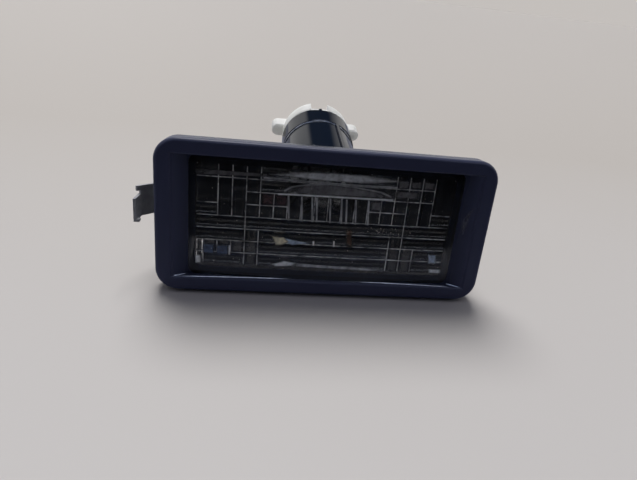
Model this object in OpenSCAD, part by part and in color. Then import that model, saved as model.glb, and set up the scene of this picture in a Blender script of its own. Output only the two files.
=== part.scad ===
// Number plate lamp: a flush rectangular lamp whose bulb holder twists into a tilted tube at the back.
// The lens faces -Y, and the lamp's body goes back along +Y through the panel that it is mounted in.
// The origin is the centre of the bezel's rear face, which seats on the panel.

/* [Bezel] */
// Width of the bezel
bezel_w = 66; // [62:0.5:74]
// Height of the bezel
bezel_h = 29.8; // [29:0.2:34]
// Thickness of the bezel, front to back
bezel_t = 4; // [3.4:0.1:5]
// Corner radius of the bezel
bezel_r = 4.3; // [3:0.1:6]
// Rounding of the bezel's front edge
bezel_edge = 0.8; // [0.4:0.1:1.2]

/* [Recess] */
// Width of the recess at the bezel's front
recess_w = 59.8; // [59:0.1:60.5]
// Height of the recess
recess_h = 24; // [23.6:0.1:24.4]
// Depth of the recess in front of the lens
recess_d = 2; // [1.6:0.1:2.2]
// Width of the chamfer round the recess's front edge
recess_edge = 0.25; // [0.1:0.05:0.4]
// How far each side wall of the recess slopes inwards
recess_slope = 2.9; // [1.5:0.1:3]

/* [Lens] */
// Gap all round the lens in its seat
lens_gap = 0.1; // [0.05:0.05:0.15]
// Distance from the bezel's rear face back to the seat of the lens
lens_seat = 0.2; // [0.1:0.05:0.4]
// Corner radius of the lens
lens_r = 1.5; // [1:0.1:2]
// How far the middle of the lens stands in front of its ends
lens_crown = 1.2; // [0.8:0.1:1.4]
// Width of one prism column
cell_w = 2.69; // [2.6:0.01:2.8]
// Gap between the ends of the prism field and the edge of the window behind the lens
field_end_gap = 0.2; // [0.1:0.05:0.3]
// Gap above and below the prism field
field_side_gap = 0.65; // [0.4:0.05:0.8]
// Width of the flat valley between two prisms
valley_w = 0.2; // [0.15:0.05:0.4]
// Height of a prism's curved back above the valleys
flute_h = 0.4; // [0.2:0.05:0.6]

/* [Body] */
// Width of the body behind the bezel
body_w = 55; // [54:0.5:56]
// Height of the body behind the bezel
body_h = 25; // [24.6:0.1:26]
// Length of the body behind the bezel
body_d = 14; // [12:0.5:18]
// Wall thickness of the body
wall = 1.6; // [1.4:0.1:2]
// Thickness of the ledge that the lens is welded to
ledge_t = 1; // [0.8:0.1:1.4]
// Width of the ledge that the lens is welded to
ledge_w = 1.05; // [1:0.05:1.4]
// Corner radius of the body
body_r = 3; // [2.4:0.1:4]
// Gap between the bezel's rear face and the fixed hook, for the panel
panel_gap = 2.2; // [2.1:0.1:2.8]
// How far the fixed hook stands out from the body
hook_out = 3; // [2:0.1:3.6]
// Thickness of the fixed hook
hook_t = 1.6; // [1.2:0.1:2]
// Height of the fixed hook
hook_w = 9; // [6:0.5:14]

/* [Tube] */
// Outer radius of the tube at its rim
tube_r = 8.75; // [8.5:0.05:9.5]
// Wall thickness of the tube at its rim
tube_wall = 1.5; // [1.2:0.1:1.6]
// Upward tilt of the tube's axis, in degrees
tube_tilt = 20; // [15:1:24]
// Distance from the bezel's rear face to the tip of the bulb
bulb_clear = 3.9; // [2.4:0.1:6]
// Height of the middle of the rim above the lens axis
tube_rise = 11.6; // [10:0.2:13]
// Outward draft of the tube towards its root, in degrees
tube_draft = 2.4; // [1:0.1:3]
// Corner radius of the collar, which is a square with wide round corners
collar_corner_r = 8.3; // [8:0.1:8.7]
// Length of the collar at the rim
collar_l = 5.6; // [4:0.2:7]
// Wall thickness of the collar round the holder's flange
collar_wall = 0.9; // [0.7:0.05:1]
// Length of the slope from the collar down to the tube
collar_slope_l = 0.4; // [0.2:0.05:0.6]
// Step from the collar down to the tube
collar_step = 0.2; // [0.1:0.05:0.4]

/* [Holder] */
// Gap between the holder's barrel and the tube's bore
barrel_gap = 0.25; // [0.15:0.05:0.4]
// Thickness of the holder's flange
flange_t = 1.4; // [1.2:0.1:2]
// Gap round the holder's flange inside the collar
flange_gap = 0.15; // [0.1:0.05:0.25]
// Width of the notch in the top of the grip disc
notch_w = 4.2; // [3:0.2:5]
// Distance from the holder's axis to the tip of each ear
ear_reach = 11.4; // [10.5:0.1:12.5]
// Width of each ear
ear_w = 3.2; // [2.6:0.1:4]
// Height of the ears above the holder's axis
ear_rise = 0.6; // [0:0.1:0.8]
// Distance from the rim to the near side of each ear
ear_off = 4.2; // [3.6:0.1:4.4]
// Length of each ear along the holder's axis
ear_d = 3.4; // [2.8:0.1:3.6]
// Radius of the grip disc behind the rim
grip_r = 8.6; // [8:0.1:8.8]
// Distance from the rim to the grip disc
grip_off = 1.2; // [1:0.1:1.6]
// Thickness of the grip disc
grip_t = 3.2; // [2.6:0.1:3.6]
// Height of a bayonet lug above the barrel
lug_h = 0.6; // [0.4:0.1:0.6]
// Width of a bayonet lug
lug_w = 2.4; // [2:0.1:3]
// Length of a bayonet lug along the barrel
lug_l = 2; // [1.6:0.1:2.4]
// Distance from the flange's seat to the near face of the lugs
lug_in = 3; // [2.4:0.1:3.6]
// Thickness of the seal under the holder's flange
seal_t = 0.8; // [0.6:0.1:1.2]

/* [Connector] */
// Width of the connector socket
socket_w = 11; // [10.4:0.2:12]
// Depth of the connector socket's body along the holder's axis
socket_d = 7.6; // [7.2:0.1:8.4]
// Length of the connector socket below the holder's axis
socket_l = 15; // [13:0.5:17]
// Wall thickness of the connector socket
socket_wall = 1.1; // [0.9:0.1:1.2]
// Depth of the opening in the connector socket
socket_open = 9; // [7:0.5:10]

/* [Contacts] */
// Thickness of the contact strip
strip_t = 0.5; // [0.4:0.05:0.6]
// Width of the contact strip
strip_w = 3; // [2.6:0.1:3.2]
// Distance between the middles of the two contacts
strip_pitch = 5; // [4.6:0.1:5.2]
// Distance from the mouth of the socket to the tip of each blade
blade_in = 2; // [1.5:0.1:3]
// Gap between a contact strip and the holder
strip_gap = 0.1; // [0.05:0.05:0.15]

/* [Bulb] */
// Radius of the bulb's glass
bulb_r = 5; // [4.8:0.05:5.1]
// Length of the bulb from its wedge to its tip
bulb_l = 26.8; // [26:0.1:28]
// Length of the bulb's flat wedge
wedge_l = 7.5; // [7:0.1:8]
// Width of the bulb's flat wedge
wedge_w = 9.2; // [9:0.1:9.5]
// Thickness of the bulb's flat wedge
wedge_t = 2.2; // [2:0.05:2.5]
// Thickness of the bulb's glass
glass_t = 0.6; // [0.5:0.05:0.8]
// Diameter of the lead-in wires
lead_d = 0.4; // [0.3:0.05:0.5]
// Distance from the bulb's tip to the filament
filament_back = 9; // [8:0.2:11]
// Distance from the neck of the wedge to the end of each folded wire
fold_in = 2; // [1.5:0.1:3]
// Radius of the filament's coil
coil_r = 0.45; // [0.35:0.05:0.6]

/* [Spring] */
// Thickness of the spring steel
spring_t = 0.5; // [0.4:0.05:0.6]
// Width of the spring steel
spring_w = 6.2; // [5.6:0.1:6.8]
// Height of the spring's middle above the lens axis
spring_rise = 0.7; // [0:0.1:1.2]
// How far the spring's lip reaches past the end of the bezel
spring_out = 4.5; // [3.5:0.1:5.5]
// Length of the straight lip
lip_l = 4.5; // [3.8:0.1:5]
// Width of the straight lip
lip_w = 4.6; // [4:0.1:4.8]
// Distance from the bezel's rear face to the bend at the lip
bend_y = 4; // [3.4:0.1:5]
// Length of the leg that lies against the body
leg_l = 9; // [7:0.5:10]
// Radius of the turn at the back, in the middle of the steel
turn_r = 1.3; // [1.1:0.1:1.6]
// Length of the ear above the lip
ear_l = 0.8; // [0.5:0.1:1.2]
// Height of the ear above the lip
ear_h = 1; // [0.8:0.1:1.2]
// Length of the foot that the lip turns in at its lower end
foot_l = 0.8; // [0.6:0.1:1.6]
// Depth of the foot
foot_d = 1.3; // [0.8:0.1:2]
// Gap between the spring and the rails that hold it
spring_gap = 0.1; // [0.05:0.05:0.2]
// Thickness of each rail
rail_t = 1.2; // [1:0.1:1.6]

/* [Hidden] */
$fn = 64;
far = 100;
root = 1;
eps = 0.01;
black = "#1c1d24";
steel = "#6d6f74";
nylon = "#e8e6df";
brass = "#c8b070";
rubber = "#2a2a2c";
lens_front_y = recess_d - bezel_t;
ledge_back = lens_seat + ledge_t;
pocket_w = recess_w - 2 * recess_slope;
lens_w = pocket_w - 2 * lens_gap;
lens_h = recess_h - 2 * lens_gap;
lens_front_r = (pow(lens_w / 2, 2) + pow(lens_crown, 2)) / (2 * lens_crown);
window_w = lens_w - 2 * ledge_w;
window_h = lens_h - 2 * ledge_w;
cell_rows = 8;
field_w = window_w - 2 * field_end_gap;
field_h = window_h - 2 * field_side_gap;
cell_h = field_h / cell_rows;
edge_column = field_w / 2 / cell_w;
bore_r = tube_r - tube_wall;
barrel_r = bore_r - barrel_gap;
collar_r = tube_r - collar_wall;
flange_r = collar_r - flange_gap;
flange_seat = seal_t + flange_t;
lug_z = -flange_seat - lug_in - lug_l;
fit = 0.05;
bulb_foot = -1;
bulb_neck = bulb_foot - wedge_l;
barrel_l = -bulb_neck - fit;
bulb_tip = bulb_foot - bulb_l;
tube_reach = bulb_clear - bulb_tip * cos(tube_tilt);
tube_len = tube_reach / cos(tube_tilt);
filament_z = bulb_tip + filament_back;
bead_z = (filament_z + bulb_neck) / 2;
lead_y = wedge_t / 2 + lead_d / 2;
contact_y = lead_y + lead_d / 2 + fit + strip_t / 2;
blade_z = socket_d / 2;
blade_tip = socket_l - blade_in;
fold_z = bulb_foot + lead_d / 2 + fit;
bead_r = 0.8;
bead_gap = 0.3;
bead_l = 2 * (bulb_r - glass_t - bead_gap);
shoulder_l = 2;
contact_in = 1;
bulb_slot_w = wedge_w + 2 * strip_gap;
bulb_slot_t = 2 * contact_y + strip_t + 2 * strip_gap;
socket_top = 2.4;
rim_gap = 0.1;
notch_d = 1.6;
pip_w = 0.7;
pip_h = 0.8;
lug_r = barrel_r + lug_h;
lug_gap = 0.2;
lug_angles = [20, 140, 260];
lug_turn = 40;
rib_angle = -65;
rib_t = 0.8;
rib_h = 0.35;
lug_half_angle = asin((lug_w / 2 + lug_gap) / barrel_r);
leg_x = -body_w / 2 - spring_gap - spring_t / 2;
turn_y = body_d - turn_r - spring_t;
bend_x = spring_t / 2 - bezel_w / 2 - spring_out;
rail_lip = 0.8;
rail_lip_t = 0.8;
rail_y = 3;
rail_l = 8;
rail_out = 2 * spring_gap + spring_t + rail_lip_t;
turn_steps = 12;

// The prism grid: each entry has its first and last row line and the column lines that part its prisms
prism_bands = [
    [0, 1, [-edge_column, -8, -7, -6, -5, 5, 6, 7, 8]], [1, 2, [-6, -5, 5, 6, 7, 8]],
    [1, 3, [-edge_column, -8]], [3, 4, [-edge_column, -8]], [1, 4, [-8, -7, -6]],
    [2, 3, [-6, -5, -4, -3]], [3, 4, [-6, -5, -4, -3]], [2, 4, [-3, -2, -1, 0, 1, 2, 3]],
    [2, 3, [3, 4, 5, 6]], [3, 4, [3, 4, 5, 6]], [2, 4, [6, 7, 8]],
    [0, 3, [8, edge_column]], [3, 4, [8, edge_column]],
    [4, 5, [-edge_column, -6, 6, edge_column]], [5, 6, [-edge_column, -6, -5, 5, 6, edge_column]],
    [6, 7, [-edge_column, -9, -8, -7, -6, -5, 5, 6, 7, edge_column]],
    [7, 8, [-edge_column, -9, -6, -5, 5, 6, 7, edge_column]]];

module rounded_rect(w, h, r) {
    square([w - 2 * r, h], center = true);
    square([w, h - 2 * r], center = true);
    for (sx = [-1, 1], sy = [-1, 1]) translate([sx * (w / 2 - r), sy * (h / 2 - r)]) circle(r);
}

// A rounded plate that stands upright and reaches from front_y to back_y
module plate(w, h, r, front_y, back_y) {
    translate([0, back_y, 0]) rotate([90, 0, 0]) linear_extrude(back_y - front_y) rounded_rect(w, h, r);
}

// Everything behind the plane y = front_y
module behind(front_y) {
    translate([-far / 2, front_y, -far / 2]) cube(far);
}

// The tube's own frame: Z runs out of the rim along its axis, X is the lamp's and Y points down and back
module tube_frame() {
    translate([0, tube_reach, tube_rise]) rotate([tube_tilt - 90, 0, 0]) children();
}

function unit(v) = v / norm(v);
function left_of(v) = [-v[1], v[0]];
function way(path, i) = unit(path[i] - path[i - 1]);

// The sideways step from point i of a path to the edge of a strip that is 2 wide, square to its bends
function side_step(path, i) =
    let (a = left_of(way(path, max(i, 1))),
         b = left_of(way(path, min(i + 1, len(path) - 1))),
         n = unit(a + b))
    n / (n * a);

// A strip of thickness t that follows a path of points
module band(path, t) {
    polygon([
        for (i = [0 : len(path) - 1]) path[i] + side_step(path, i) * t / 2,
        for (i = [len(path) - 1 : -1 : 0]) path[i] - side_step(path, i) * t / 2]);
}

// The rounded front edge of a plate, from y = 0 forward by e
module edge_roll(w, h, r, e) {
    for (sx = [0, 1], sz = [0, 1]) mirror([sx, 0, 0]) mirror([0, 0, sz])
        translate([w / 2 - r, 0, h / 2 - r]) rotate([90, 0, 0]) rotate_extrude(angle = 90) intersection() {
            translate([r - e, 0]) circle(e);
            square([r, e]);
        }
    for (sz = [0, 1]) mirror([0, 0, sz]) intersection() {
        translate([0, 0, h / 2 - e]) rotate([0, 90, 0]) cylinder(w - 2 * r, r = e, center = true);
        translate([-w / 2, -e, h / 2 - e]) cube([w, e, e]);
    }
    for (sx = [0, 1]) mirror([sx, 0, 0]) intersection() {
        translate([w / 2 - e, 0, 0]) cylinder(h - 2 * r, r = e, center = true);
        translate([w / 2 - e, -e, -h / 2]) cube([e, e, h]);
    }
}

module bezel() {
    plate(bezel_w, bezel_h, bezel_r, bezel_edge - bezel_t, 0);
    plate(bezel_w - 2 * bezel_edge, bezel_h - 2 * bezel_edge, bezel_r - bezel_edge,
          -bezel_t, bezel_edge - bezel_t);
    translate([0, bezel_edge - bezel_t, 0]) edge_roll(bezel_w, bezel_h, bezel_r, bezel_edge);
}

// A long wedge along Z that widens a slot of a given width at the bezel's front
module chamfer_wedge(w) {
    half = w / 2;
    translate([0, 0, -far / 2]) linear_extrude(far) polygon([
        [-half, recess_edge - bezel_t], [-half - 2 * recess_edge, -bezel_t - recess_edge],
        [half + 2 * recess_edge, -bezel_t - recess_edge], [half, recess_edge - bezel_t]]);
}

// The recess in front of the lens, whose two side walls slope inwards, and the lens's pocket behind it
module recess() {
    half = recess_w / 2;
    translate([0, 0, -recess_h / 2]) linear_extrude(recess_h) polygon([
        [-half, -bezel_t], [-half, -2 * bezel_t], [half, -2 * bezel_t], [half, -bezel_t],
        [pocket_w / 2, lens_front_y], [-pocket_w / 2, lens_front_y]]);
    intersection() {
        chamfer_wedge(recess_w);
        rotate([0, 90, 0]) chamfer_wedge(recess_h);
    }
    plate(pocket_w, recess_h, lens_r + lens_gap, lens_front_y - eps, lens_seat);
    plate(window_w, window_h, lens_r, lens_seat - eps, ledge_back + eps);
}

module housing() {
    color(black) difference() {
        union() {
            bezel();
            plate(body_w, body_h, body_r, -ledge_t, body_d);
            tube_outside();
            hook();
            spring_rails();
        }
        recess();
        plate(body_w - 2 * wall, body_h - 2 * wall, body_r - wall, ledge_back, body_d - wall);
        tube_inside();
    }
}

// The tube with its collar, the chamfer below the collar and the rib that runs down its right side
module tube_outside() {
    shaft_r = tube_r - collar_step;
    shaft_l = tube_len - collar_l;
    intersection() {
        tube_frame() {
            translate([0, 0, -collar_l]) linear_extrude(collar_l)
                rounded_rect(2 * tube_r, 2 * tube_r, collar_corner_r);
            translate([0, 0, -collar_l - collar_slope_l])
                cylinder(collar_slope_l, r1 = shaft_r, r2 = tube_r);
            translate([0, 0, -tube_len])
                cylinder(shaft_l, r1 = shaft_r + tan(tube_draft) * shaft_l, r2 = shaft_r);
            rotate([0, 0, rib_angle]) translate([shaft_r, 0, -collar_l]) rotate([0, -tube_draft, 0])
                translate([-rib_t, -rib_t / 2, -shaft_l]) cube([rib_t + rib_h, rib_t, shaft_l]);
            translate([-pip_w / 2, -tube_r, -pip_h]) cube([pip_w, pip_w, 2 * pip_h]);
        }
        behind(ledge_back);
    }
}

// The bore for the bulb holder, its seat in the collar, and the slots and grooves for the bayonet lugs
module tube_inside() {
    intersection() {
        tube_frame() translate([0, 0, -tube_len]) cylinder(tube_len + eps, r = bore_r);
        behind(ledge_back);
    }
    tube_frame() {
        translate([0, 0, -flange_seat]) cylinder(flange_seat + eps, r = collar_r);
        for (a = lug_angles) rotate([0, 0, a]) {
            translate([0, -lug_w / 2 - lug_gap, lug_z - lug_gap])
                cube([lug_r + lug_gap, lug_w + 2 * lug_gap, lug_gap - lug_z - flange_seat + eps]);
            translate([0, 0, lug_z - lug_gap]) rotate_extrude(angle = lug_turn + lug_half_angle)
                translate([bore_r - root, 0])
                    square([lug_r + lug_gap - bore_r + root, lug_l + 2 * lug_gap]);
        }
    }
}

// The fixed hook that goes behind the panel on the right
module hook() {
    translate([body_w / 2 - wall, 0, -hook_w / 2]) linear_extrude(hook_w) polygon([
        [0, 0], [wall, 0], [wall, panel_gap], [wall + hook_out, panel_gap],
        [wall + hook_out, panel_gap + hook_t], [wall, panel_gap + 2 * hook_t], [0, panel_gap + 2 * hook_t]]);
}

// Two rails on the left that hold the spring's straight leg against the body
module spring_rails() {
    for (s = [-1, 1]) translate([-body_w / 2, 0, spring_rise]) mirror([0, 0, s < 0 ? 1 : 0]) {
        translate([-rail_out, rail_y, spring_w / 2 + spring_gap]) cube([rail_out + wall, rail_l, rail_t]);
        translate([-rail_out, rail_y, spring_w / 2 - rail_lip]) cube([rail_lip_t, rail_l, rail_lip + rail_t]);
    }
}

// The lens seen from the front is a rounded rectangle, and its front bulges in one long curve
module lens_blank() {
    intersection() {
        plate(lens_w, lens_h, lens_r, lens_front_y - lens_crown, lens_seat);
        translate([0, lens_front_y - lens_crown + lens_front_r, -far / 2])
            cylinder(far, r = lens_front_r, $fn = 360);
    }
}

// The segment of a circle that stands flute_h above a chord along X
module segment(chord) {
    r = (pow(chord / 2, 2) + pow(flute_h, 2)) / (2 * flute_h);
    intersection() {
        translate([0, flute_h - r]) circle(r, $fn = 180);
        translate([-chord / 2, -eps]) square([chord, flute_h + 2 * eps]);
    }
}

// One prism on the lens's back: a shallow cylinder whose ridge runs along the longer side of its cell
module prism(left, right, top, low) {
    w = (right - left) * cell_w - valley_w;
    h = (low - top) * cell_h - valley_w;
    translate([(left + right) / 2 * cell_w, 0, (cell_rows - low - top) / 2 * cell_h])
        if (h > w - cell_w / 4) translate([0, 0, -h / 2]) linear_extrude(h) segment(w);
        else translate([-w / 2, 0, 0]) rotate([90, 0, 90]) linear_extrude(w) rotate(-90) segment(h);
}

module lens() {
    color("white", 0.4) {
        lens_blank();
        translate([0, lens_seat, 0]) intersection() {
            union() for (band = prism_bands, i = [1 : len(band[2]) - 1])
                prism(band[2][i - 1], band[2][i], band[0], band[1]);
            plate(field_w, field_h, lens_r / 2, -flute_h, 2 * flute_h);
        }
    }
}

// Bent from one strip: a straight leg, a turn, a leaf that flares out, and a lip with an ear above it
module retaining_spring() {
    turn = [for (a = [0 : 180 / turn_steps : 180])
        [leg_x - turn_r + turn_r * cos(a), turn_y + turn_r * sin(a)]];
    bend = [bend_x, bend_y];
    leaf = concat([[leg_x, turn_y - leg_l]], turn, [bend]);
    leaf_way = way(leaf, len(leaf) - 1);
    color(steel) translate([0, 0, spring_rise]) {
        translate([0, 0, -spring_w / 2]) linear_extrude(spring_w) band(leaf, spring_t);
        translate([0, 0, -spring_w / 2]) linear_extrude(lip_w)
            band([bend - 2 * root * leaf_way, bend, bend - [0, lip_l]], spring_t);
        translate([0, 0, spring_w / 2 - ear_h]) linear_extrude(ear_h)
            band([bend - 2 * root * leaf_way, bend + ear_l * leaf_way], spring_t);
        translate([bend_x, bend_y - lip_l, -spring_w / 2]) cube([foot_l, foot_d, spring_t]);
    }
}

// The twist-in holder: barrel, flange, bayonet lugs, two ears and the socket that points down behind them
module holder() {
    color(nylon) tube_frame() difference() {
        union() {
            translate([0, 0, -barrel_l]) cylinder(barrel_l, r = barrel_r);
            translate([0, 0, -flange_t]) cylinder(flange_t, r = flange_r);
            for (a = lug_angles) rotate([0, 0, a + lug_turn]) intersection() {
                translate([0, -lug_w / 2, lug_z]) cube([lug_r, lug_w, lug_l]);
                translate([0, 0, lug_z]) cylinder(lug_l, r = lug_r);
            }
            translate([0, 0, -eps]) cylinder(grip_off + 2 * eps, r = barrel_r);
            translate([0, 0, grip_off]) cylinder(grip_t, r = grip_r);
            translate([0, -ear_rise, ear_off]) linear_extrude(ear_d)
                rounded_rect(2 * ear_reach, ear_w, ear_w / 2 - eps);
            translate([-socket_w / 2, -socket_top, rim_gap])
                cube([socket_w, socket_top + socket_l, socket_d - rim_gap]);
        }
        translate([-notch_w / 2, -grip_r - eps, grip_off - eps]) cube([notch_w, notch_d + eps, socket_d]);
        translate([-bulb_slot_w / 2, -bulb_slot_t / 2, -barrel_l - eps])
            cube([bulb_slot_w, bulb_slot_t, barrel_l + fold_z + lead_d / 2 + fit + eps]);
        translate([-socket_w / 2 + socket_wall, socket_l - socket_open, socket_wall])
            cube([socket_w - 2 * socket_wall, socket_open + eps, socket_d - 2 * socket_wall]);
        for (side = [-1, 1]) contact_strip(side, strip_gap);
    }
}

// One contact: a strip beside the wedge that runs back through the flange and turns down as a blade
module contact_strip(side, gap) {
    bend = [side * contact_y, blade_z];
    translate([side * strip_pitch / 2 - strip_w / 2 - gap, 0, 0]) rotate([90, 0, 90])
        linear_extrude(strip_w + 2 * gap)
            band([[bend[0], bulb_neck + contact_in], bend, [blade_tip, blade_z]], strip_t + 2 * gap);
}

module holder_seal() {
    color(rubber) tube_frame() translate([0, 0, -flange_seat]) difference() {
        cylinder(seal_t, r = flange_r);
        translate([0, 0, -eps]) cylinder(seal_t + 2 * eps, r = barrel_r + fit);
    }
}

module contact_left() {
    color(brass) tube_frame() contact_strip(-1, 0);
}

module contact_right() {
    color(brass) tube_frame() contact_strip(1, 0);
}

// The round part of the bulb, turned about its axis from the neck to the tip
module bulb_round(inset) {
    r = bulb_r - inset;
    straight_l = bulb_neck - bulb_tip - bulb_r - shoulder_l - inset;
    translate([0, 0, bulb_tip + bulb_r]) {
        sphere(r);
        cylinder(straight_l, r = r);
        translate([0, 0, straight_l]) cylinder(shoulder_l, r1 = r, r2 = r - shoulder_l / 2);
    }
}

module bulb_glass() {
    color("white", 0.3) tube_frame() difference() {
        union() {
            bulb_round(0);
            translate([-wedge_w / 2, -wedge_t / 2, bulb_neck - root])
                cube([wedge_w, wedge_t, wedge_l + root]);
        }
        bulb_round(glass_t);
        for (side = [-1, 1]) lead(side, fit);
    }
}

// One lead-in wire, from the filament through the wedge and folded back along its face
module lead(side, gap) {
    r = lead_d / 2 + gap;
    translate([side * strip_pitch / 2, 0, 0]) {
        translate([0, 0, filament_z]) cylinder(fold_z - filament_z, r = r);
        translate([0, 0, fold_z]) sphere(r);
        translate([0, 0, fold_z]) rotate([-90 * side, 0, 0]) cylinder(lead_y, r = r);
        translate([0, side * lead_y, fold_z]) sphere(r);
        translate([0, side * lead_y, bulb_neck + fold_in]) cylinder(fold_z - bulb_neck - fold_in, r = r);
    }
}

module bulb_lead_left() {
    color(steel) tube_frame() lead(-1, 0);
}

module bulb_lead_right() {
    color(steel) tube_frame() lead(1, 0);
}

module bulb_bead() {
    color("white", 0.5) tube_frame() difference() {
        translate([0, 0, bead_z]) rotate([0, 90, 0]) cylinder(bead_l, r = bead_r, center = true);
        for (side = [-1, 1]) lead(side, fit);
    }
}

module bulb_filament() {
    color(steel) tube_frame() translate([0, 0, filament_z + coil_r]) rotate([0, 90, 0])
        cylinder(strip_pitch - lead_d - 2 * fit, r = coil_r, center = true);
}

housing();
lens();
retaining_spring();
holder();
holder_seal();
contact_left();
contact_right();
bulb_glass();
bulb_bead();
bulb_lead_left();
bulb_lead_right();
bulb_filament();
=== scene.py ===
"""Dresses the number plate lamp, with its finishes, the reflections in its lens and the scene round it."""
from __future__ import annotations

import logging
import math
import random
from dataclasses import dataclass
from enum import Enum
from typing import Sequence

import bmesh
import bpy
from mathutils import Matrix, Vector


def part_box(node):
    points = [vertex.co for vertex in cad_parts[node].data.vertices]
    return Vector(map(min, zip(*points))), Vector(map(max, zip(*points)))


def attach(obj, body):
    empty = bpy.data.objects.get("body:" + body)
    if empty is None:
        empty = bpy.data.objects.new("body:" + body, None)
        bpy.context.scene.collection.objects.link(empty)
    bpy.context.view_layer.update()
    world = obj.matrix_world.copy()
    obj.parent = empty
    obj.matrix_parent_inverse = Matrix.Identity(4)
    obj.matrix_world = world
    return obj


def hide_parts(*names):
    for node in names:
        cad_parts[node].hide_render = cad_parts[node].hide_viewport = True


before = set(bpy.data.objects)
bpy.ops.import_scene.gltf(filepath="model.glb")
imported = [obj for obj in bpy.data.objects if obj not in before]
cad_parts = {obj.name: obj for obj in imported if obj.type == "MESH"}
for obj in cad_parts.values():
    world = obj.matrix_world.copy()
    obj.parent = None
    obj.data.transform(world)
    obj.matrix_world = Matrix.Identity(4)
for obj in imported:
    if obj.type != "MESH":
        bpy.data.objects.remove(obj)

LOG = logging.getLogger("number_plate_lamp")
MM = 0.001
Node = bpy.types.Node
Socket = bpy.types.NodeSocket
Outputs = bpy.types.NodeOutputs
Tree = bpy.types.NodeTree
Material = bpy.types.Material
Piece = bpy.types.Object
Mesh = bmesh.types.BMesh
Vert = bmesh.types.BMVert
Colour = tuple[float, float, float]
Point = tuple[float, float, float]
Span = tuple[float, float]
DUST_COLOUR: Colour = (0.45, 0.43, 0.4)
FADE = "fade"


class Shading(Enum):
    """How a piece's faces are shaded."""

    FLAT = "flat"
    SMOOTH = "smooth"


class Graph:
    """A short way to add nodes to a tree and link them."""

    def __init__(self, tree: Tree) -> None:
        """Keep the tree that the nodes go into.

        Args:
            tree: The node tree of a material or of a node group.
        """
        self.tree = tree

    def add(self, kind: str, values: dict[str | int, object] | None = None, **settings: object) -> Node:
        """Add one node.

        Args:
            kind: The node's type name, without "ShaderNode".
            values: Input values, by socket name or number. A socket as the value is linked instead.
            settings: Properties of the node itself.

        Returns:
            The new node.
        """
        node = self.tree.nodes.new(f"ShaderNode{kind}")
        for key, value in settings.items():
            setattr(node, key, value)
        for key, value in (values or {}).items():
            if isinstance(value, Socket):
                self.tree.links.new(value, node.inputs[key])
            else:
                node.inputs[key].default_value = value
        return node

    def math(self, operation: str, first: object, second: object = 0.0, clamp: bool = False) -> Socket:
        """Add a Math node.

        Args:
            operation: Blender's name of the operation.
            first: A number or a socket.
            second: A number or a socket.
            clamp: Keep the result between 0 and 1.

        Returns:
            The node's output.
        """
        return self.add("Math", {0: first, 1: second}, operation=operation, use_clamp=clamp).outputs[0]

    def mix(self, factor: object, first: object, second: object) -> Socket:
        """Mix two colours.

        Args:
            factor: A number or a socket, 0 for the first colour.
            first: A colour or a socket.
            second: A colour or a socket.

        Returns:
            The mixed colour.
        """
        # 6, 7 and output 2 are the Mix node's sockets for colours
        return self.add("Mix", {0: factor, 6: first, 7: second}, data_type="RGBA").outputs[2]

    def blend(self, factor: object, first: object, second: object) -> Socket:
        """Mix two numbers.

        Args:
            factor: A number or a socket, 0 for the first number.
            first: A number or a socket.
            second: A number or a socket.

        Returns:
            The mixed number.
        """
        # 2, 3 and output 0 are the Mix node's sockets for numbers
        return self.add("Mix", {0: factor, 2: first, 3: second}, data_type="FLOAT").outputs[0]

    def spread(self, value: object, source: Span = (0.0, 1.0), target: Span = (0.0, 1.0)) -> Socket:
        """Map one range onto another, and clamp the result.

        Args:
            value: The socket to map.
            source: The values that become the two ends of the target.
            target: The result at each end.

        Returns:
            The mapped value.
        """
        ends = {"From Min": source[0], "From Max": source[1], "To Min": target[0], "To Max": target[1]}
        return self.add("MapRange", {"Value": value, **ends}).outputs["Result"]

    def axis(self, vector: Socket, name: str) -> Socket:
        """Take one part of a vector.

        Args:
            vector: The vector.
            name: X, Y or Z.

        Returns:
            That part.
        """
        return self.add("SeparateXYZ", {0: vector}).outputs[name]

    def object_place(self) -> Socket:
        """Give each point's place in its object, in metres."""
        return self.add("TexCoord").outputs["Object"]

    def noise(self, place: Socket, scale: object, detail: float, roughness: float = 0.5) -> Socket:
        """Add a noise texture.

        Args:
            place: Where the noise is read.
            scale: A number or a socket.
            detail: How many finer layers it has.
            roughness: How strong the finer layers are.

        Returns:
            The noise, around 0.5.
        """
        values = {"Vector": place, "Scale": scale, "Detail": detail, "Roughness": roughness}
        return self.add("TexNoise", values).outputs["Fac"]

    def bump(self, height: Socket, strength: float, distance: float) -> Socket:
        """Add a Bump node.

        Args:
            height: The height over the surface.
            strength: How much of it shows, from 0 to 1.
            distance: The height of 1, in metres.

        Returns:
            The bent normal.
        """
        values = {"Height": height, "Strength": strength, "Distance": distance}
        return self.add("Bump", values).outputs["Normal"]

    def feed(self, node: Node, inputs: dict[str, Socket]) -> None:
        """Link sockets to a node's inputs.

        Args:
            node: The node.
            inputs: The sockets, by the names of the node's inputs.
        """
        for name, socket in inputs.items():
            self.tree.links.new(socket, node.inputs[name])


class Effect(Enum):
    """The shared effects, each built once as a node group."""

    GRAIN = "moulded_grain"
    WEAR = "edge_wear"
    DUST = "settled_dust"
    STREAKS = "drawn_streaks"


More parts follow.
